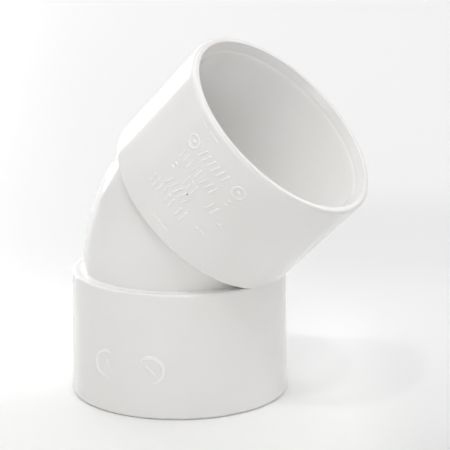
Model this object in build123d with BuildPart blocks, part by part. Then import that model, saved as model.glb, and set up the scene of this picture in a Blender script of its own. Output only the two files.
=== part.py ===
from build123d import *
from math import atan2, cos, degrees, hypot, pi, radians, sin
import os

os.makedirs("parts", exist_ok=True)

# ---------------------------------------------------------------- dimensions
# All lengths in millimetres. The origin is the centre of the lower socket's
# mouth, which rests on the table at z = 0. The lower socket's axis is +Z and
# the elbow bends towards +X, so the XZ plane halves the body. The moulded
# marks are on the -Y side.

ANGLE = 45.0             # how far the elbow turns the pipe
PIPE_OD = 43.0           # the pipe that each socket takes
PIPE_CLEARANCE = 0.15    # between pipe and socket, on the radius

SOCKET_LENGTH = 28.0     # mouth face to shoulder face
SOCKET_BORE_R = PIPE_OD / 2 + PIPE_CLEARANCE
MOUTH_OUTER_R = 24.25    # outside of the wall at the mouth
SHOULDER_OUTER_R = 23.75 # outside of the wall at the shoulder (1 degree draft)
LEAD_IN_R = 22.7         # the bore opens out to this at the mouth
LEAD_IN_DEPTH = 2.0
STOP_THICKNESS = 2.2     # web that closes the socket down onto the bend tube
MOUTH_EDGE_R = 0.9       # the mouth is well rounded outside, nearly sharp inside
LEAD_IN_EDGE_R = 0.15
SHOULDER_EDGE_R = 0.6

BEND_RADIUS = 21.5       # centreline of the bend
BEND_OUTER_R = 21.3
BEND_BORE_R = 19.3

MARK_HEIGHT = 0.22       # how far the marks stand off the wall
STROKE = 0.44            # width of a marking stroke
STROKE_HEIGHT = 2.6      # length of an upright marking stroke
CELL = 1.4               # pitch of the marking strokes along a row
DATE_RING_R = 3.3        # outside of a date ring
DATE_RING_STROKE = 0.85
DATE_RINGS = [           # x, height above the mouth, and the gap's middle in degrees
    (-4.9, 11.1, -12.0),
    (5.95, 11.0, 210.0),
]
DATE_RING_GAP = 143.0    # how much of each ring is missing, in degrees
DATE_POINTER_WIDTH = 0.5
DATE_POINTERS = [        # from, to
    ((-4.8, 12.3), (-3.9, 9.8)),
    ((4.9, 12.0), (7.1, 9.9)),
]
SIZE_RING_R = 1.6        # the two small rings in the top marking row
SIZE_RING_CENTRES = [(-5.8, 21.6), (8.3, 21.5)]  # across, from the shoulder
SIZE_DOT_R = 0.42
WITNESS_WIDTH = 0.28     # the fine ridges where the mould's marking insert ends
WITNESS_HEIGHT = 0.12

# ------------------------------------------------------------------- frames
turn = radians(ANGLE)
bend_centre = (BEND_RADIUS, 0, SOCKET_LENGTH)

# axis of the upper socket, and the direction across it towards the throat
along = (sin(turn), 0, cos(turn))
across = (cos(turn), 0, -sin(turn))
heel = (-cos(turn), 0, sin(turn))
shoulder = (
    BEND_RADIUS - BEND_RADIUS * cos(turn),
    0,
    SOCKET_LENGTH + BEND_RADIUS * sin(turn),
)

lower_axis = Axis((0, 0, 0), (0, 0, 1))
upper_axis = Axis(shoulder, along)
bend_axis = Axis(bend_centre, (0, 1, 0))

# A socket's profile is drawn with the radius along x and the distance from
# the shoulder along y, on the heel side, so that no seam meets the throat.
lower_profile_plane = Plane(origin=(0, 0, SOCKET_LENGTH), x_dir=(-1, 0, 0), z_dir=(0, -1, 0))
upper_profile_plane = Plane(origin=shoulder, x_dir=heel, z_dir=(0, 1, 0))

# The plane that halves the bend. The two sockets meet face to face on it at
# the throat, where their shoulders would otherwise run into each other.
mitre_plane = Plane(
    origin=bend_centre,
    x_dir=(0, 1, 0),
    z_dir=(sin(turn / 2), 0, cos(turn / 2)),
)

# Marks are laid out flat beside the -Y face and carried onto the wall along Y,
# the way the mould half that forms them opens.
MARK_STANDOFF = 30.0
MARK_REACH = 15.0
lower_mark_plane = Plane(origin=(0, -MARK_STANDOFF, 0), x_dir=(1, 0, 0), z_dir=(0, -1, 0))
upper_mark_plane = Plane(
    origin=(shoulder[0], -MARK_STANDOFF, shoulder[2]), x_dir=across, z_dir=(0, -1, 0)
)


def wall_r(s):
    """Outer radius of a socket's wall at distance s from its shoulder."""
    return SHOULDER_OUTER_R + (MOUTH_OUTER_R - SHOULDER_OUTER_R) * s / SOCKET_LENGTH


# the socket's section: web, outer wall, mouth face, lead-in, bore, stop face
socket_outline = [
    (BEND_OUTER_R, 0),
    (SHOULDER_OUTER_R, 0),
    (MOUTH_OUTER_R, SOCKET_LENGTH),
    (LEAD_IN_R, SOCKET_LENGTH),
    (SOCKET_BORE_R, SOCKET_LENGTH - LEAD_IN_DEPTH),
    (SOCKET_BORE_R, STOP_THICKNESS),
    (BEND_OUTER_R, STOP_THICKNESS),
]


def mark_shell(height):
    """Section of the skin that the marks of one height fill, over the whole wall."""
    s0, s1 = 1.0, SOCKET_LENGTH - 1.0
    return [
        (wall_r(s0), s0),
        (wall_r(s0) + height, s0),
        (wall_r(s1) + height, s1),
        (wall_r(s1), s1),
    ]


# ------------------------------------------------------------- lower socket
with BuildPart() as lower_socket:
    with BuildSketch(lower_profile_plane) as lower_section:
        with BuildLine():
            Polyline(*socket_outline, close=True)
        make_face()
        corners = lower_section.vertices()
        fillet(corners.sort_by_distance((SHOULDER_OUTER_R, 0))[0], SHOULDER_EDGE_R)
        corners = lower_section.vertices()
        fillet(corners.sort_by_distance((MOUTH_OUTER_R, SOCKET_LENGTH))[0], MOUTH_EDGE_R)
        corners = lower_section.vertices()
        fillet(corners.sort_by_distance((LEAD_IN_R, SOCKET_LENGTH))[0], LEAD_IN_EDGE_R)
    revolve(axis=lower_axis)
    split(bisect_by=mitre_plane, keep=Keep.BOTTOM)
lower_socket.part.label = "lower_socket"
export_step(lower_socket.part, "parts/lower_socket.step")

# ------------------------------------------------------------- upper socket
with BuildPart() as upper_socket:
    with BuildSketch(upper_profile_plane) as upper_section:
        with BuildLine():
            Polyline(*socket_outline, close=True)
        make_face()
        corners = upper_section.vertices()
        fillet(corners.sort_by_distance((SHOULDER_OUTER_R, 0))[0], SHOULDER_EDGE_R)
        corners = upper_section.vertices()
        fillet(corners.sort_by_distance((MOUTH_OUTER_R, SOCKET_LENGTH))[0], MOUTH_EDGE_R)
        corners = upper_section.vertices()
        fillet(corners.sort_by_distance((LEAD_IN_R, SOCKET_LENGTH))[0], LEAD_IN_EDGE_R)
    revolve(axis=upper_axis)
    split(bisect_by=mitre_plane, keep=Keep.TOP)
upper_socket.part.label = "upper_socket"
export_step(upper_socket.part, "parts/upper_socket.step")

# ---------------------------------------------------------------- bend tube
# The turned part of the passage. Each end carries on straight through the
# socket's web, and its end face is the inner half of the pipe stop.
with BuildPart() as bend_tube:
    with BuildSketch(Plane.XY.offset(SOCKET_LENGTH)) as bend_section:
        Circle(BEND_OUTER_R)
        Circle(BEND_BORE_R, mode=Mode.SUBTRACT)
    revolve(axis=bend_axis, revolution_arc=ANGLE)
    with BuildSketch(Plane.XY.offset(SOCKET_LENGTH)):
        Circle(BEND_OUTER_R)
        Circle(BEND_BORE_R, mode=Mode.SUBTRACT)
    extrude(amount=-STOP_THICKNESS)
    with BuildSketch(Plane(origin=shoulder, x_dir=across, z_dir=along)):
        Circle(BEND_OUTER_R)
        Circle(BEND_BORE_R, mode=Mode.SUBTRACT)
    extrude(amount=STOP_THICKNESS)
bend_tube.part.label = "bend_tube"
export_step(bend_tube.part, "parts/bend_tube.step")

# ------------------------------------------------- marks on the lower socket
# Two date rings side by side, each a ring with a pointer in it. The insert that
# forms a ring sits a little askew in the mould, so each ring is only an arc.
with BuildPart() as date_rings:
    with BuildSketch(lower_mark_plane):
        for x, z, gap_middle in DATE_RINGS:
            with Locations((x, z)):
                Circle(DATE_RING_R)
                Circle(DATE_RING_R - DATE_RING_STROKE, mode=Mode.SUBTRACT)
            gap = [(x, z)]
            for n in range(-2, 3):
                a = radians(gap_middle + n * DATE_RING_GAP / 4)
                gap.append((x + 2 * DATE_RING_R * cos(a), z + 2 * DATE_RING_R * sin(a)))
            with BuildLine():
                Polyline(*gap, close=True)
            make_face(mode=Mode.SUBTRACT)
    extrude(amount=-MARK_REACH)
    with BuildSketch(lower_profile_plane):
        with BuildLine():
            Polyline(*mark_shell(MARK_HEIGHT), close=True)
        make_face()
    revolve(axis=lower_axis, mode=Mode.INTERSECT)
date_rings.part.label = "date_rings"
export_step(date_rings.part, "parts/date_rings.step")

with BuildPart() as date_pointers:
    with BuildSketch(lower_mark_plane):
        for tail, tip in DATE_POINTERS:
            run, rise = tip[0] - tail[0], tip[1] - tail[1]
            with Locations(((tail[0] + tip[0]) / 2, (tail[1] + tip[1]) / 2)):
                SlotOverall(
                    hypot(run, rise), DATE_POINTER_WIDTH, rotation=degrees(atan2(rise, run))
                )
    extrude(amount=-MARK_REACH)
    with BuildSketch(lower_profile_plane):
        with BuildLine():
            Polyline(*mark_shell(MARK_HEIGHT), close=True)
        make_face()
    revolve(axis=lower_axis, mode=Mode.INTERSECT)
date_pointers.part.label = "date_pointers"
export_step(date_pointers.part, "parts/date_pointers.step")

# ------------------------------------------------- marks on the upper socket
# Two small rings with a dot in each, at the ends of the top row.
with BuildPart() as size_rings:
    with BuildSketch(upper_mark_plane):
        with Locations(*SIZE_RING_CENTRES):
            Circle(SIZE_RING_R)
            Circle(SIZE_RING_R - STROKE, mode=Mode.SUBTRACT)
            Circle(SIZE_DOT_R)
    extrude(amount=-MARK_REACH)
    with BuildSketch(upper_profile_plane):
        with BuildLine():
            Polyline(*mark_shell(MARK_HEIGHT), close=True)
        make_face()
    revolve(axis=upper_axis, mode=Mode.INTERSECT)
size_rings.part.label = "size_rings"
export_step(size_rings.part, "parts/size_rings.step")

# Rows of plain strokes. Each row is (across, from the shoulder, pattern), with
# the middle of its first stroke and the foot of the row, and one character to
# a cell. A row repeats one kind of stroke:
#   I  an upright      /  a leaning upright      =  two level dashes, one over
#                                                   the other
#   -  one level dash
MARKING_ROWS = [
    (-2.6, 20.4, "//////"),
    (-5.8, 16.4, "IIIII"),
    (1.6, 16.4, "///"),
    (8.3, 16.7, "="),
    (-5.3, 13.1, "="),
    (-1.2, 13.1, "III"),
    (6.0, 13.1, "//"),
    (10.0, 10.7, "="),
    (-3.7, 10.1, "/////"),
    (-7.0, 6.8, "IIIIII"),
    (2.3, 6.8, "II"),
    (7.4, 7.2, "--"),
]

with BuildPart() as marking_rows:
    with BuildSketch(upper_mark_plane):
        for x0, s0, pattern in MARKING_ROWS:
            for n, stroke in enumerate(pattern):
                x, y = x0 + n * CELL, s0 + STROKE_HEIGHT / 2
                if stroke == "I":
                    with Locations((x, y)):
                        SlotOverall(STROKE_HEIGHT, STROKE, rotation=90)
                elif stroke == "/":
                    with Locations((x, y)):
                        SlotOverall(STROKE_HEIGHT, STROKE, rotation=72)
                elif stroke == "-":
                    with Locations((x, y)):
                        SlotOverall(0.95, STROKE)
                elif stroke == "=":
                    with Locations((x, y - 0.55), (x, y + 0.55)):
                        SlotOverall(0.95, STROKE)
    extrude(amount=-MARK_REACH)
    with BuildSketch(upper_profile_plane):
        with BuildLine():
            Polyline(*mark_shell(MARK_HEIGHT), close=True)
        make_face()
    revolve(axis=upper_axis, mode=Mode.INTERSECT)
marking_rows.part.label = "marking_rows"
export_step(marking_rows.part, "parts/marking_rows.step")

# The fine ridges left where the marking insert ends: two lengths above the
# rows, which turn a corner at the heel end, and two below them.
WITNESS_LINES = [        # middle across, middle from the shoulder, width, height
    (-7.05, 26.1, 3.1, WITNESS_WIDTH),
    (-8.46, 25.5, WITNESS_WIDTH, 1.2),
    (-3.3, 26.15, 3.4, 0.42),
    (-1.55, 2.97, 2.9, WITNESS_WIDTH),
    (1.9, 2.97, 3.4, 0.34),
]
with BuildPart() as insert_witness_lines:
    with BuildSketch(upper_mark_plane):
        for x, s, width, height in WITNESS_LINES:
            with Locations((x, s)):
                Rectangle(width, height)
    extrude(amount=-MARK_REACH)
    with BuildSketch(upper_profile_plane):
        with BuildLine():
            Polyline(*mark_shell(WITNESS_HEIGHT), close=True)
        make_face()
    revolve(axis=upper_axis, mode=Mode.INTERSECT)
insert_witness_lines.part.label = "insert_witness_lines"
export_step(insert_witness_lines.part, "parts/insert_witness_lines.step")

for piece in (lower_socket, upper_socket, bend_tube):
    print(piece.part.label, round(piece.part.volume / 1000, 3), "cm3")
print("centreline length of the bend", round(BEND_RADIUS * pi * ANGLE / 180, 2), "mm")
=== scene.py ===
"""White plastic 45 degree elbow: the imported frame, with its looks built round it."""

import math

import bmesh
import bpy
import numpy as np
from mathutils import Matrix, Vector


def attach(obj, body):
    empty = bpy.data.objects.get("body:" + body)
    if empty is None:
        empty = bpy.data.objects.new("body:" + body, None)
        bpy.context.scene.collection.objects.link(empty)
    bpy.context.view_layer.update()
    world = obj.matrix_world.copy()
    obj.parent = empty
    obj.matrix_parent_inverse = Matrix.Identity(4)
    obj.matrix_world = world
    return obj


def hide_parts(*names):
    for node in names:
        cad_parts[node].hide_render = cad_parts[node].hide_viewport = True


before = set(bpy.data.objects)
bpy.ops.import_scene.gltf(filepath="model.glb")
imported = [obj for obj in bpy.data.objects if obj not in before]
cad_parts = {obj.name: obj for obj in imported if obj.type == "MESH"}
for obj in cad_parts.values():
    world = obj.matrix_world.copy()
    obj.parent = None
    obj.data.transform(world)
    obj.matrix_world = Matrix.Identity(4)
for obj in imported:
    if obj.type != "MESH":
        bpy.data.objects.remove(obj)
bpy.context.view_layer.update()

MM = 0.001

# ----------------------------------------------------------------- dimensions
# The CAD's own, in millimetres. Each socket has a frame: its shoulder centre,
# the way along it to its mouth, the way across it to the throat of the bend,
# and the way out to the marked face.
SOCKET_LENGTH = 28.0
MOUTH_OUTER_R = 24.25
SHOULDER_OUTER_R = 23.75
SOCKET_BORE_R = 21.65
LEAD_IN_R = 22.7
LEAD_IN_DEPTH = 2.0
STOP_THICKNESS = 2.2
BEND_RADIUS = 21.5
BEND_OUTER_R = 21.3
BEND_BORE_R = 19.3
TURN = math.radians(45)

S, C = math.sin(TURN), math.cos(TURN)
LOWER = {
    "o": np.array([0.0, 0.0, 28.0]),
    "along": np.array([0.0, 0.0, -1.0]),
    "across": np.array([1.0, 0.0, 0.0]),
    "out": np.array([0.0, -1.0, 0.0]),
}
UPPER = {
    "o": np.array([BEND_RADIUS - BEND_RADIUS * C, 0.0, 28.0 + BEND_RADIUS * S]),
    "along": np.array([S, 0.0, C]),
    "across": np.array([C, 0.0, -S]),
    "out": np.array([0.0, -1.0, 0.0]),
}


def smooth(t):
    t = np.clip(t, 0.0, 1.0)
    return t * t * (3 - 2 * t)


def wall_r(s):
    return SHOULDER_OUTER_R + (MOUTH_OUTER_R - SHOULDER_OUTER_R) * s / SOCKET_LENGTH


# angles round a socket or the bend, from the throat (0) over the marked face
ANGLES = np.linspace(0, 2 * math.pi, 360, endpoint=False)


# ------------------------------------------------------------------ mesh tools
def make_object(name, verts_mm, faces, sharp_deg=38.0, material_of=None):
    """A closed mesh in the row frame, smooth except over edges sharper than sharp_deg."""
    mesh = bpy.data.meshes.new(name)
    mesh.from_pydata([tuple(v) for v in np.asarray(verts_mm) * MM], [], faces)
    bm = bmesh.new()
    bm.from_mesh(mesh)
    if material_of is not None:
        bm.faces.ensure_lookup_table()
        for f, slot in zip(bm.faces, material_of):
            f.material_index = slot
    finish_mesh(bm, sharp_deg)
    bm.to_mesh(mesh)
    bm.free()
    obj = bpy.data.objects.new(name, mesh)
    bpy.context.scene.collection.objects.link(obj)
    return obj


def finish_mesh(bm, sharp_deg):
    bmesh.ops.recalc_face_normals(bm, faces=bm.faces)
    limit = math.radians(sharp_deg)
    for f in bm.faces:
        f.smooth = True
    for e in bm.edges:
        e.smooth = not (len(e.link_faces) == 2 and e.calc_face_angle(0.0) > limit)


def weigh_normals(obj):
    """Shading normals that follow the large faces, so small roundings read as roundings."""
    m = obj.modifiers.new("weighted", "WEIGHTED_NORMAL")
    m.keep_sharp = True
    m.weight = 60
    return obj


def rounded(points, radii, steps=7):
    """A closed outline with some corners rounded. points are (r, s); radii is per corner, 0 for sharp."""
    out = []
    n = len(points)
    for i, (p, r) in enumerate(zip(points, radii)):
        p = np.array(p, float)
        if r == 0:
            out.append(tuple(p))
            continue
        a = np.array(points[i - 1], float) - p
        b = np.array(points[(i + 1) % n], float) - p
        a, b = a / np.linalg.norm(a), b / np.linalg.norm(b)
        half = math.acos(np.clip(a @ b, -1, 1)) / 2
        mid = (a + b) / np.linalg.norm(a + b)
        centre = p + mid * r / math.sin(half)
        t = r / math.tan(half)
        p0, p1 = p + a * t, p + b * t
        a0 = math.atan2(*(p0 - centre)[::-1])
        a1 = math.atan2(*(p1 - centre)[::-1])
        turn = (a1 - a0 + math.pi) % (2 * math.pi) - math.pi
        for k in range(steps + 1):
            q = a0 + turn * k / steps
            out.append((centre[0] + r * math.cos(q), centre[1] + r * math.sin(q)))
    return out


def spaced(outline, spans):
    """Adds points on the outline's long straight runs: spans is {(from, to): count} by position."""
    out = []
    n = len(outline)
    for i, p in enumerate(outline):
        q = outline[(i + 1) % n]
        out.append(p)
        length = math.hypot(q[0] - p[0], q[1] - p[1])
        cuts = int(length // spans)
        for k in range(1, cuts + 1):
            t = k / (cuts + 1)
            out.append((p[0] + (q[0] - p[0]) * t, p[1] + (q[1] - p[1]) * t))
    return out


def round_points(fr, r, s, phi):
    """Points at radius r and distance s along a socket's axis, at angle phi from the throat."""
    r, s, phi = np.broadcast_arrays(r, s, phi)
    way = np.cos(phi)[..., None] * fr["across"] + np.sin(phi)[..., None] * fr["out"]
    return fr["o"] + s[..., None] * fr["along"] + r[..., None] * way


def quads(rows, cols, wrap_rows=True, wrap_cols=True):
    faces = []
    for i in range(rows if wrap_rows else rows - 1):
        for j in range(cols if wrap_cols else cols - 1):
            a, b = i * cols + j, i * cols + (j + 1) % cols
            c, d = ((i + 1) % rows) * cols + (j + 1) % cols, ((i + 1) % rows) * cols + j
            faces.append((a, b, c, d))
    return faces


# --------------------------------------------------------------------- sockets
SOCKET_OUTLINE = [
    (BEND_OUTER_R, 0.0),
    (SHOULDER_OUTER_R, 0.0),
    (MOUTH_OUTER_R, SOCKET_LENGTH),
    (LEAD_IN_R, SOCKET_LENGTH),
    (SOCKET_BORE_R, SOCKET_LENGTH - LEAD_IN_DEPTH),
    (SOCKET_BORE_R, STOP_THICKNESS),
    (BEND_OUTER_R, STOP_THICKNESS),
]
SOCKET_ROUNDING = [0, 0.6, 0.92, 0.15, 3.5, 0.12, 0]


def socket(name, fr):
    outline = spaced(rounded(SOCKET_OUTLINE, SOCKET_ROUNDING), 1.6)
    r = np.array([p[0] for p in outline])
    s = np.array([p[1] for p in outline])
    verts = []
    for phi in ANGLES:
        verts.append(round_points(fr, r, s, phi))
    verts = np.concatenate(verts)
    n = len(outline)
    inside = []
    for j in range(n):
        k = (j + 1) % n
        if max(r[j], r[k]) > 22.95:
            inside.append(0)
        else:
            inside.append(2 if min(s[j], s[k]) > SOCKET_LENGTH - LEAD_IN_DEPTH else 1)
    faces, slots = [], []
    for i in range(len(ANGLES)):
        k = (i + 1) % len(ANGLES)
        for j in range(n):
            m = (j + 1) % n
            faces.append((i * n + j, i * n + m, k * n + m, k * n + j))
            slots.append(inside[j])
    mesh = bpy.data.meshes.new(name)
    mesh.from_pydata([tuple(v) for v in verts * MM], [], faces)
    bm = bmesh.new()
    bm.from_mesh(mesh)
    bm.faces.ensure_lookup_table()
    for f, m in zip(bm.faces, slots):
        f.material_index = int(m)
    # at the throat the two sockets meet on the plane that halves the bend
    side = 1.0 if fr is UPPER else -1.0
    normal = Vector((math.sin(TURN / 2), 0, math.cos(TURN / 2))) * side
    cut = bmesh.ops.bisect_plane(
        bm,
        geom=bm.verts[:] + bm.edges[:] + bm.faces[:],
        dist=1e-9,
        plane_co=Vector((BEND_RADIUS, 0, 28.0)) * MM,
        plane_no=-normal,
        clear_outer=True,
    )
    rim = [e for e in cut["geom_cut"] if isinstance(e, bmesh.types.BMEdge) and e.is_boundary]
    bmesh.ops.edgenet_fill(bm, edges=rim)
    bmesh.ops.remove_doubles(bm, verts=bm.verts, dist=1e-8)
    finish_mesh(bm, 38.0)
    bm.to_mesh(mesh)
    bm.free()
    obj = bpy.data.objects.new(name, mesh)
    bpy.context.scene.collection.objects.link(obj)
    return weigh_normals(obj)


# ------------------------------------------------------------------- bend tube
def bend(name):
    """The bent tube, with the small moulding radius where it leaves each shoulder."""
    flare_span = math.radians(0.75)
    stations = []  # (centre, across, radius growth factor)
    plug = STOP_THICKNESS

    def station(theta, extra=0.0):
        """Centre and across-vector at angle theta of the arc, or extra mm beyond its ends."""
        along = np.array([math.sin(theta), 0.0, math.cos(theta)])
        across = np.array([math.cos(theta), 0.0, -math.sin(theta)])
        centre = np.array([BEND_RADIUS, 0.0, 28.0]) - BEND_RADIUS * across
        return centre + along * extra, across

    near = np.array([0.0, 0.02, 0.06, 0.13, 0.25, 0.42, 0.66, 1.0]) * flare_span
    inner_span = np.linspace(near[-1], TURN - near[-1], 60)[1:-1]
    thetas = np.concatenate([near, inner_span, TURN - near[::-1]])
    out_rows, slots_out = [], []

    def flare(theta, phi):
        edge = min(theta, TURN - theta)
        t = min(edge / flare_span, 1.0)
        reach = (BEND_RADIUS - BEND_OUTER_R * np.cos(phi)) * flare_span
        return reach * (1.0 - math.sqrt(max(0.0, 1.0 - (1.0 - t) ** 2)))

    def ring(centre, across, r):
        way = np.cos(ANGLES)[:, None] * across + np.sin(ANGLES)[:, None] * LOWER["out"]
        return centre + np.asarray(r)[:, None] * way

    ones = np.ones(len(ANGLES))
    c0, x0 = station(0.0, -plug)
    out_rows.append(ring(c0, x0, BEND_OUTER_R * ones))
    c0, x0 = station(0.0)
    out_rows.append(ring(c0, x0, BEND_OUTER_R * ones))
    for theta in thetas:
        c, x = station(theta)
        out_rows.append(ring(c, x, BEND_OUTER_R + flare(theta, ANGLES)))
    c1, x1 = station(TURN)
    out_rows.append(ring(c1, x1, BEND_OUTER_R * ones))
    c1, x1 = station(TURN, plug)
    out_rows.append(ring(c1, x1, BEND_OUTER_R * ones))
    outer = len(out_rows)
    # back down the inside, with a small radius at each pipe stop
    stop_r = 0.2
    for k in range(6):
        q = math.pi / 2 * k / 5
        c, x = station(TURN, plug - stop_r * (1 - math.cos(q)))
        out_rows.append(ring(c, x, (BEND_BORE_R + stop_r * (1 - math.sin(q))) * ones))
    for theta in np.linspace(TURN, 0, 46):
        c, x = station(theta)
        out_rows.append(ring(c, x, BEND_BORE_R * ones))
    for k in range(6):
        q = math.pi / 2 * (5 - k) / 5
        c, x = station(0.0, -plug + stop_r * (1 - math.cos(q)))
        out_rows.append(ring(c, x, (BEND_BORE_R + stop_r * (1 - math.sin(q))) * ones))
    rows = len(out_rows)
    verts = np.concatenate(out_rows)
    faces = quads(rows, len(ANGLES))
    slots = []
    for i in range(rows):
        slots += [0 if i < outer - 1 else 1] * len(ANGLES)
    return weigh_normals(make_object(name, verts, faces, 38.0, slots))


# ----------------------------------------------------------------------- marks
# A mark is laid out flat beside the marked face and carried straight onto the
# wall, as in the CAD. Its edge is a rounded step, so it catches a soft light.
STROKE = 0.44
MARK_HEIGHT = 0.22
STEP = [(0.0, -0.03), (0.0, 0.02), (0.02, 0.1), (0.055, 0.155), (0.1, 0.195), (0.145, 0.214), (0.172, 0.22)]


def onto_wall(fr, flat, height):
    """Points (across, along) at a height over the wall, in the row frame."""
    x, s = flat[:, 0], flat[:, 1]
    r = wall_r(s)
    y = np.sqrt(r * r - x * x)
    k = (r + height) / r
    return (
        fr["o"]
        + s[:, None] * fr["along"]
        + (x * k)[:, None] * fr["across"]
        + (y * k)[:, None] * fr["out"]
    )


def slot_outline(p0, p1, half, inset, n_end=7, pitch=0.35):
    """Both long sides and ends of a slot, as a loop that mirrors about its centre line."""
    p0, p1 = np.array(p0, float), np.array(p1, float)
    d = p1 - p0
    length = np.linalg.norm(d)
    d = d / length
    n = np.array([-d[1], d[0]])
    w = max(half - inset, 1e-4)
    m = max(2, int(length / pitch) + 1)
    top = [p0 + d * w * math.cos(q) + n * w * math.sin(q) for q in np.linspace(math.pi, math.pi / 2, n_end)]
    top += [p0 + d * length * t + n * w for t in np.linspace(0, 1, m)[1:-1]]
    top += [p1 + d * w * math.cos(q) + n * w * math.sin(q) for q in np.linspace(math.pi / 2, 0, n_end)]
    top = np.array(top)
    rel = top - p0
    low = p0 + (rel @ d)[:, None] * d - (rel @ n)[:, None] * n
    return top, low[::-1][1:-1]


def slot_mark(fr, p0, p1, half, height, verts, faces):
    scale = height / MARK_HEIGHT
    base = len(verts)
    loops = []
    for inset, h in STEP:
        inset = inset * min(1.0, half / 0.18) if height < 0.2 else inset
        top, low = slot_outline(p0, p1, half, inset)
        loop = np.concatenate([top, low])
        loops.append(onto_wall(fr, loop, h * scale if h > 0 else h))
    n = len(loops[0])
    for loop in loops:
        verts.extend(loop.tolist())
    for k in range(len(loops) - 1):
        for i in range(n):
            j = (i + 1) % n
            faces.append((base + k * n + i, base + k * n + j, base + (k + 1) * n + j, base + (k + 1) * n + i))
    t = len(top)
    for start, flip in ((base + (len(loops) - 1) * n, False), (base, True)):
        for i in range(t - 1):
            a, b = i, i + 1
            c, d = (n - b) % n, (n - a) % n
            quad = [a, b, c, d] if b < t - 1 else [a, b, d]
            if a == 0:
                quad = [a, b, c]
            quad = [start + q for q in dict.fromkeys(quad)]
            faces.append(tuple(quad[::-1] if flip else quad))


def ring_mark(fr, centre, outer, inner, height, verts, faces, n=72):
    scale = height / MARK_HEIGHT
    base = len(verts)
    q = np.linspace(0, 2 * math.pi, n, endpoint=False)
    unit = np.stack([np.cos(q), np.sin(q)], 1)
    profile = [(outer - i, h) for i, h in STEP]
    if inner > 0:
        mid = (outer + inner) / 2
        profile = [(max(r, mid + 0.01), h) for r, h in profile]
        profile += [(min(inner + i, mid - 0.01), h) for i, h in reversed(STEP)]
    for r, h in profile:
        loop = onto_wall(fr, np.array(centre) + unit * r, np.full(n, h * scale if h > 0 else h))
        verts.extend(loop.tolist())
    rows = len(profile)
    for k in range(rows if inner > 0 else rows - 1):
        for i in range(n):
            j = (i + 1) % n
            a, b = base + k * n, base + ((k + 1) % rows) * n
            faces.append((a + i, a + j, b + j, b + i))
    if inner <= 0:
        faces.append(tuple(base + (rows - 1) * n + i for i in range(n)))
        faces.append(tuple(base + i for i in reversed(range(n))))


def marks_object(name, verts, faces):
    return weigh_normals(make_object(name, np.array(verts), faces, 60.0))


def arc_mark(fr, centre, outer, inner, start, end, height, verts, faces, n=96):
    """Part of a ring, from one angle to another, that narrows and sinks into the wall at its ends."""
    base = len(verts)
    mid, half = (outer + inner) / 2, (outer - inner) / 2
    side = [(half - i * 1.9, h) for i, h in STEP]
    profile = side + [(-w, h) for w, h in reversed(side)]
    rows = len(profile)
    for k in range(n + 1):
        t = k / n
        q = math.radians(start + (end - start) * t)
        fade = float(smooth(np.array(min(t, 1 - t) / 0.16)))
        wide = 0.3 + 0.7 * fade
        unit = np.array([math.cos(q), -math.sin(q)])
        flat = np.array([np.array(centre) + unit * (mid + w * wide) for w, _ in profile])
        rise = np.array([h * (0.25 + 0.75 * fade) * height / MARK_HEIGHT if h > 0 else h for _, h in profile])
        verts.extend(onto_wall(fr, flat, rise).tolist())
    for k in range(n):
        for i in range(rows):
            j = (i + 1) % rows
            a, b = base + k * rows, base + (k + 1) * rows
            faces.append((a + i, a + j, b + j, b + i))
    faces.append(tuple(base + i for i in reversed(range(rows))))
    faces.append(tuple(base + n * rows + i for i in range(rows)))


def date_rings():
    """Two date rings, each only an arc: the insert that forms it sits a little askew."""
    verts, faces = [], []
    for x, z, gap in [(-4.9, 11.1, -12.0), (5.95, 11.0, 210.0)]:
        arc_mark(
            LOWER, (x, SOCKET_LENGTH - z), 3.3, 3.3 - 0.85, gap + 71.5, gap + 288.5, MARK_HEIGHT, verts, faces
        )
    return marks_object("date_rings_moulded", verts, faces)


def date_pointers():
    verts, faces = [], []
    for (xa, za), (xb, zb) in [((-4.8, 12.3), (-3.9, 9.8)), ((4.9, 12.0), (7.1, 9.9))]:
        a = np.array([xa, SOCKET_LENGTH - za])
        b = np.array([xb, SOCKET_LENGTH - zb])
        d = (b - a) / np.linalg.norm(b - a)
        slot_mark(LOWER, a + d * 0.25, b - d * 0.25, 0.25, MARK_HEIGHT, verts, faces)
    return marks_object("date_pointers_moulded", verts, faces)


def size_rings():
    verts, faces = [], []
    for x, s in [(-5.8, 21.6), (8.3, 21.5)]:
        ring_mark(UPPER, (x, s), 1.6, 1.6 - STROKE, MARK_HEIGHT, verts, faces, 64)
        ring_mark(UPPER, (x, s), 0.42, 0.0, MARK_HEIGHT, verts, faces, 28)
    return marks_object("size_rings_moulded", verts, faces)


MARKING_ROWS = [
    (-2.6, 20.4, "//////"),
    (-5.8, 16.4, "IIIII"),
    (1.6, 16.4, "///"),
    (8.3, 16.7, "="),
    (-5.3, 13.1, "="),
    (-1.2, 13.1, "III"),
    (6.0, 13.1, "//"),
    (10.0, 10.7, "="),
    (-3.7, 10.1, "/////"),
    (-7.0, 6.8, "IIIIII"),
    (2.3, 6.8, "II"),
    (7.4, 7.2, "--"),
]


def marking_rows():
    verts, faces = [], []
    half = STROKE / 2
    tall, wide = 2.6 / 2 - half, 0.95 / 2 - half
    for x0, s0, pattern in MARKING_ROWS:
        for n, kind in enumerate(pattern):
            x, y = x0 + n * 1.4, s0 + 1.3
            if kind in "I/":
                lean = math.radians(90 if kind == "I" else 72)
                d = np.array([math.cos(lean), math.sin(lean)]) * tall
                slot_mark(UPPER, np.array([x, y]) - d, np.array([x, y]) + d, half, MARK_HEIGHT, verts, faces)
            else:
                for dy in (0.0,) if kind == "-" else (-0.55, 0.55):
                    slot_mark(UPPER, (x - wide, y + dy), (x + wide, y + dy), half, MARK_HEIGHT, verts, faces)
    return marks_object("marking_rows_moulded", verts, faces)


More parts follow.
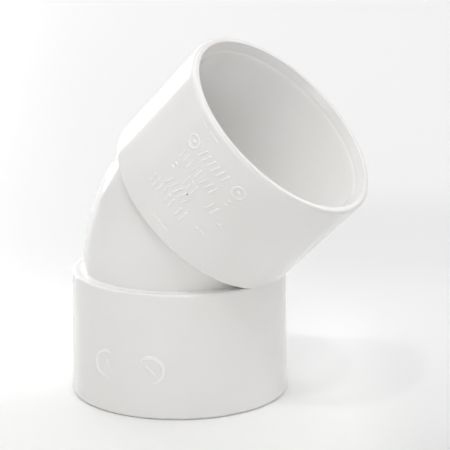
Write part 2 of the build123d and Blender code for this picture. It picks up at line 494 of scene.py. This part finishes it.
def witness_lines():
    verts, faces = [], []
    for a, b, half in [
        ((-8.46, 26.1), (-5.64, 26.1), 0.14),
        ((-8.46, 25.04), (-8.46, 26.1), 0.14),
        ((-4.79, 26.15), (-1.81, 26.15), 0.2),
        ((-2.86, 2.97), (-0.24, 2.97), 0.14),
        ((0.36, 2.97), (3.44, 2.97), 0.16),
    ]:
        slot_mark(UPPER, a, b, half, 0.12, verts, faces)
    return marks_object("insert_witness_lines_moulded", verts, faces)


# ------------------------------------------------------------------- materials
def node(tree, kind, **props):
    n = tree.nodes.new(kind)
    for k, v in props.items():
        setattr(n, k, v)
    return n


def plastic(name, tint=(0.87, 0.859, 0.848), rings=None, speck=None, gloss=0.17):
    """Gloss white moulding plastic: faint clouding in the colour, uneven gloss, the
    orange peel of a moulded skin, hairline scuffs, and, where rings gives a socket's
    axis, the fine turning marks of the steel core."""
    m = bpy.data.materials.new(name)
    m.use_nodes = True
    t = m.node_tree
    t.nodes.clear()
    out = node(t, "ShaderNodeOutputMaterial")
    b = node(t, "ShaderNodeBsdfPrincipled")
    t.links.new(b.outputs["BSDF"], out.inputs["Surface"])
    b.inputs["IOR"].default_value = 1.53
    b.inputs["Specular IOR Level"].default_value = 0.5
    co = node(t, "ShaderNodeTexCoord")

    def noise(scale, detail=2.0, rough=0.5, vector=None, distortion=0.0):
        n = node(t, "ShaderNodeTexNoise")
        n.inputs["Scale"].default_value = scale
        n.inputs["Detail"].default_value = detail
        n.inputs["Roughness"].default_value = rough
        n.inputs["Distortion"].default_value = distortion
        t.links.new(vector or co.outputs["Object"], n.inputs["Vector"])
        return n.outputs["Fac"]

    def remap(value, a0, a1, b0, b1):
        n = node(t, "ShaderNodeMapRange")
        n.clamp = True
        for key, v in (("From Min", a0), ("From Max", a1), ("To Min", b0), ("To Max", b1)):
            n.inputs[key].default_value = v
        t.links.new(value, n.inputs["Value"])
        return n.outputs["Result"]

    def math_node(op, a, c):
        n = node(t, "ShaderNodeMath", operation=op)
        for sock, v in zip(n.inputs, (a, c)):
            if isinstance(v, (int, float)):
                sock.default_value = v
            else:
                t.links.new(v, sock)
        return n.outputs["Value"]

    # colour: soft clouds of slightly warmer and cooler white
    clouds = remap(noise(55.0, 3.0, 0.55), 0.3, 0.7, 0.0, 1.0)
    mix = node(t, "ShaderNodeMix", data_type="RGBA")
    t.links.new(clouds, mix.inputs[0])
    mix.inputs[6].default_value = (tint[0] * 0.985, tint[1] * 0.985, tint[2] * 0.975, 1)
    mix.inputs[7].default_value = (min(tint[0] * 1.012, 1), min(tint[1] * 1.014, 1), min(tint[2] * 1.02, 1), 1)
    colour = mix.outputs[2]
    if speck is not None:
        # one small dark spot in the colour
        offset = node(t, "ShaderNodeVectorMath", operation="DISTANCE")
        t.links.new(co.outputs["Object"], offset.inputs[0])
        offset.inputs[1].default_value = tuple(v * MM for v in speck)
        spot = remap(offset.outputs["Value"], 0.00012, 0.00026, 1.0, 0.0)
        dark = node(t, "ShaderNodeMix", data_type="RGBA")
        t.links.new(spot, dark.inputs[0])
        t.links.new(colour, dark.inputs[6])
        dark.inputs[7].default_value = (0.03, 0.028, 0.025, 1)
        colour = dark.outputs[2]
    t.links.new(colour, b.inputs["Base Color"])

    # gloss: broad patches, plus fine scuffs that run at random over the skin
    broad = remap(noise(120.0, 4.0, 0.6), 0.35, 0.7, gloss - 0.03, gloss + 0.05)
    stretch = node(t, "ShaderNodeMapping")
    stretch.inputs["Rotation"].default_value = (0.6, 0.25, 0.9)
    stretch.inputs["Scale"].default_value = (1.0, 14.0, 14.0)
    t.links.new(co.outputs["Object"], stretch.inputs["Vector"])
    scuff = remap(noise(260.0, 2.0, 0.5, stretch.outputs["Vector"]), 0.62, 0.72, 0.0, 0.09)
    t.links.new(math_node("ADD", broad, scuff), b.inputs["Roughness"])

    # skin: orange peel a millimetre or two across, and a finer grain
    peel = noise(520.0, 2.0, 0.5)
    fine = noise(3800.0, 2.0, 0.6)
    height = math_node("ADD", peel, math_node("MULTIPLY", fine, 0.12))
    if rings is not None:
        dot = node(t, "ShaderNodeVectorMath", operation="DOT_PRODUCT")
        t.links.new(co.outputs["Object"], dot.inputs[0])
        dot.inputs[1].default_value = tuple(rings)
        along = node(t, "ShaderNodeCombineXYZ")
        t.links.new(dot.outputs["Value"], along.inputs["X"])
        turned = noise(5200.0, 3.0, 0.7, along.outputs["Vector"])
        height = math_node("ADD", height, math_node("MULTIPLY", turned, 0.35))
    bump = node(t, "ShaderNodeBump")
    bump.inputs["Strength"].default_value = 0.12
    bump.inputs["Distance"].default_value = 0.00008
    t.links.new(height, bump.inputs["Height"])
    t.links.new(bump.outputs["Normal"], b.inputs["Normal"])
    return m


# one small dark spot on the upper socket's marked face: across 1.05, 12.5 from the shoulder
SPECK = onto_wall(UPPER, np.array([[1.05, 12.5]]), 0.0)[0]
skin_lower = plastic("white_plastic_lower")
skin_upper = plastic("white_plastic_upper", speck=[float(v) for v in SPECK])
skin_bend = plastic("white_plastic_bend")
# the raised marks are painted paler than the wall they stand on: a painted highlight on the strokes
skin_marks_painted_highlight = plastic("white_plastic_marks_painted_highlight", tint=(0.945, 0.94, 0.935), gloss=0.14)
# the bores are painted paler than the outside: painted light standing in for the light that reaches into the
# sockets and the bend
BORE_PAINTED_LIGHT_TINT = (0.945, 0.937, 0.927)
bore_lower = plastic("white_plastic_bore_lower", BORE_PAINTED_LIGHT_TINT, rings=LOWER["along"], gloss=0.2)
bore_upper = plastic("white_plastic_bore_upper", BORE_PAINTED_LIGHT_TINT, rings=UPPER["along"], gloss=0.2)
bore_bend = plastic("white_plastic_bore_bend", BORE_PAINTED_LIGHT_TINT, gloss=0.22)
# the lead-in cone is painted greyer than the rest of the plastic: painted shade that keeps it near the tone of the
# bore
lead_in_painted_shade = plastic("white_plastic_lead_in", (0.81, 0.8, 0.79), gloss=0.24)

# ---------------------------------------------------------------------- pieces
PIECES = [
    (socket("lower_socket_shell", LOWER), "lower_socket", (skin_lower, bore_lower, lead_in_painted_shade), "white_plastic"),
    (socket("upper_socket_shell", UPPER), "upper_socket", (skin_upper, bore_upper, lead_in_painted_shade), "white_plastic"),
    (bend("bend_tube_shell"), "bend_tube", (skin_bend, bore_bend), "white_plastic"),
    (date_rings(), "date_rings", (skin_marks_painted_highlight,), "raised_marks"),
    (date_pointers(), "date_pointers", (skin_marks_painted_highlight,), "raised_marks"),
    (size_rings(), "size_rings", (skin_marks_painted_highlight,), "raised_marks"),
    (marking_rows(), "marking_rows", (skin_marks_painted_highlight,), "raised_marks"),
    (witness_lines(), "insert_witness_lines", (skin_marks_painted_highlight,), "raised_marks"),
]
for piece, cad, materials, slot in PIECES:
    for mat in materials:
        piece.data.materials.append(mat)
    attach(piece, "root")
    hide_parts(cad)

# ----------------------------------------------------------- floor and lighting
AZ, EL, ROLL = math.radians(28.7579), math.radians(14.2397), math.radians(-0.3064)
DIST, SHIFT_U, SHIFT_V, FOCAL_PX = 493.297, 10.2846, 37.3727, 2220.568

back = Vector((math.sin(AZ) * math.cos(EL), -math.cos(AZ) * math.cos(EL), math.sin(EL)))
level = Vector((math.cos(AZ), math.sin(AZ), 0))
forward = Vector((-math.sin(AZ), math.cos(AZ), 0))
up = back.cross(level)
target = level * SHIFT_U + Vector((0, 0, SHIFT_V))
eye = (target + back * DIST) * MM
right = math.cos(ROLL) * level + math.sin(ROLL) * up
above = -math.sin(ROLL) * level + math.cos(ROLL) * up

cam_data = bpy.data.cameras.new("camera")
cam_data.sensor_width = 36.0
cam_data.lens = FOCAL_PX * 36.0 / 450.0
cam_data.clip_start, cam_data.clip_end = 0.01, 20.0
cam = bpy.data.objects.new("camera", cam_data)
bpy.context.scene.collection.objects.link(cam)
cam.matrix_world = Matrix(
    (
        (right[0], above[0], back[0], eye[0]),
        (right[1], above[1], back[1], eye[1]),
        (right[2], above[2], back[2], eye[2]),
        (0, 0, 0, 1),
    )
)
bpy.context.scene.camera = cam


def floor_material():
    m = bpy.data.materials.new("pale_floor")
    m.use_nodes = True
    t = m.node_tree
    b = t.nodes["Principled BSDF"]
    b.inputs["Roughness"].default_value = 0.45
    b.inputs["IOR"].default_value = 1.4
    b.inputs["Specular IOR Level"].default_value = 0.25
    co = node(t, "ShaderNodeTexCoord")

    def run(way, start, end):
        """0 before start and 1 after end, in metres along a direction on the floor."""
        dot = node(t, "ShaderNodeVectorMath", operation="DOT_PRODUCT")
        t.links.new(co.outputs["Object"], dot.inputs[0])
        dot.inputs[1].default_value = tuple(way)
        n = node(t, "ShaderNodeMapRange", interpolation_type="SMOOTHSTEP")
        for key, v in (("From Min", start), ("From Max", end), ("To Min", 0.0), ("To Max", 1.0)):
            n.inputs[key].default_value = v
        t.links.new(dot.outputs["Value"], n.inputs["Value"])
        return n.outputs["Result"]

    def mixed(fac, a, c):
        n = node(t, "ShaderNodeMix", data_type="RGBA")
        t.links.new(fac, n.inputs[0])
        for sock, v in ((n.inputs[6], a), (n.inputs[7], c)):
            if isinstance(v, tuple):
                sock.default_value = v
            else:
                t.links.new(v, sock)
        return n.outputs[2]

    # painted light and shade in the floor's colour: near is paler in front, a painted pool of light, and side is
    # greyer to the right, the object's soft shadow painted on
    far, near, side = (0.94, 0.94, 0.94, 1), (0.97, 0.97, 0.962, 1), (0.8, 0.8, 0.8, 1)
    left_with_painted_light = mixed(run(forward, -0.04, 0.04), near, far)
    right_with_painted_shadow = mixed(run(forward, 0.09, 0.2), side, far)
    both = mixed(run(level, 0.03, 0.056), left_with_painted_light, right_with_painted_shadow)
    # painted shadow: a soft grey patch to the right of the object and a little behind it, where its shadow falls
    span = node(t, "ShaderNodeMath", operation="MULTIPLY")
    t.links.new(run(forward, 0.02, 0.09), span.inputs[0])
    t.links.new(run(level, -0.005, 0.045), span.inputs[1])
    painted_shadow_mask = node(t, "ShaderNodeMath", operation="MULTIPLY")
    t.links.new(span.outputs["Value"], painted_shadow_mask.inputs[0])
    t.links.new(run(forward, 0.22, 0.12), painted_shadow_mask.inputs[1])
    t.links.new(mixed(painted_shadow_mask.outputs["Value"], both, (0.86, 0.86, 0.865, 1)), b.inputs["Base Color"])
    return m


def make_floor():
    """A wide round sweep: flat under the object, rising gently far away on every side."""
    bm = bmesh.new()
    radii = [0.0, 0.15, 0.4, 0.8, 1.2] + [1.2 + 0.1 * k for k in range(1, 17)]
    turns = 96
    rings = []
    for rho in radii[1:]:
        z = max(0.0, rho - 1.2) ** 2 / 3.6
        rings.append(
            [
                bm.verts.new((rho * math.cos(2 * math.pi * k / turns), rho * math.sin(2 * math.pi * k / turns), z))
                for k in range(turns)
            ]
        )
    middle = bm.verts.new((0, 0, 0))
    for k in range(turns):
        bm.faces.new((middle, rings[0][k], rings[0][(k + 1) % turns]))
        for inner, outer in zip(rings, rings[1:]):
            bm.faces.new((inner[k], outer[k], outer[(k + 1) % turns], inner[(k + 1) % turns]))
    for f in bm.faces:
        f.smooth = True
    mesh = bpy.data.meshes.new("floor")
    bm.to_mesh(mesh)
    bm.free()
    obj = bpy.data.objects.new("floor", mesh)
    bpy.context.scene.collection.objects.link(obj)
    obj.data.materials.append(floor_material())
    return obj


make_floor()

world = bpy.data.worlds.new("studio")
bpy.context.scene.world = world
world.use_nodes = True
world.node_tree.nodes["Background"].inputs["Color"].default_value = (1.0, 1.0, 1.0, 1)
world.node_tree.nodes["Background"].inputs["Strength"].default_value = 0.12


EXPOSURE = 0.85


def place(data, left_deg, elev_deg, distance, aim):
    """Puts a light on a sphere round the object, aimed at it. left_deg is measured
    from straight behind the object, towards the left of the view."""
    b, e = math.radians(left_deg), math.radians(elev_deg)
    flat = forward * math.cos(b) - level * math.sin(b)
    way = flat * math.cos(e) + Vector((0, 0, math.sin(e)))
    obj = bpy.data.objects.new(data.name, data)
    bpy.context.scene.collection.objects.link(obj)
    obj.location = Vector(aim) + way * distance
    obj.rotation_mode = "QUATERNION"
    obj.rotation_quaternion = way.to_track_quat("Z", "Y")
    obj.visible_camera = False
    return obj


def softbox(name, left_deg, elev_deg, distance, width, height, radiance):
    data = bpy.data.lights.new(name, "AREA")
    data.shape = "RECTANGLE"
    data.size, data.size_y = width, height
    data.energy = EXPOSURE * radiance * math.pi * width * height
    return place(data, left_deg, elev_deg, distance, (0.005, 0, 0.04))


def mouth_light(name, left_deg, elev_deg, power):
    """A small soft spot that only reaches into the upper mouth."""
    data = bpy.data.lights.new(name, "SPOT")
    data.shadow_soft_size = 0.06
    data.spot_size, data.spot_blend = math.radians(4.4), 0.5
    data.energy = power
    return place(data, left_deg, elev_deg, 0.9, (0.024, 0.002, 0.061))


# A pale room: wide boxes above, all round, and a bright window low behind on the left.
softbox("ceiling", 0, 90, 1.3, 0.9, 0.9, 1.2)
for left, radiance in [(0, 0.694), (45, 0.733), (90, 0.513), (135, 0.679), (180, 1.731), (315, 1.577)]:
    softbox(f"high_box_{left}", left, 55, 1.3, 0.8, 0.8, radiance)
for left, radiance in [
    (0, 0.887), (30, 2.377), (60, 0.607), (90, 1.084), (180, 3.016), (270, 1.765), (300, 2.296), (330, 0.756)
]:
    softbox(f"low_box_{left}", left, 22, 1.3, 0.6, 0.55, radiance)
softbox("window_left", 34.5, 8, 1.15, 0.30, 0.30, 5.5)
softbox("window_middle", 15, 8, 1.15, 0.28, 0.30, 3.6)
mouth_light("mouth_near", 185, 65, 9.0)
mouth_light("mouth_near_low", 185, 45, 7.0)
mouth_light("mouth_left", 140, 65, 10.0)

# Sunlit table beyond the left edge of the picture, which the left side of the object mirrors.
patch = bpy.data.lights.new("table_patch", "SPOT")
patch.shadow_soft_size = 0.05
patch.spot_size, patch.spot_blend = math.radians(7.0), 1.0
patch.energy = 10.0
place(patch, 90, 80, 0.9, level * -0.088 + forward * 0.045)

bpy.context.scene.view_settings.view_transform = "Standard"
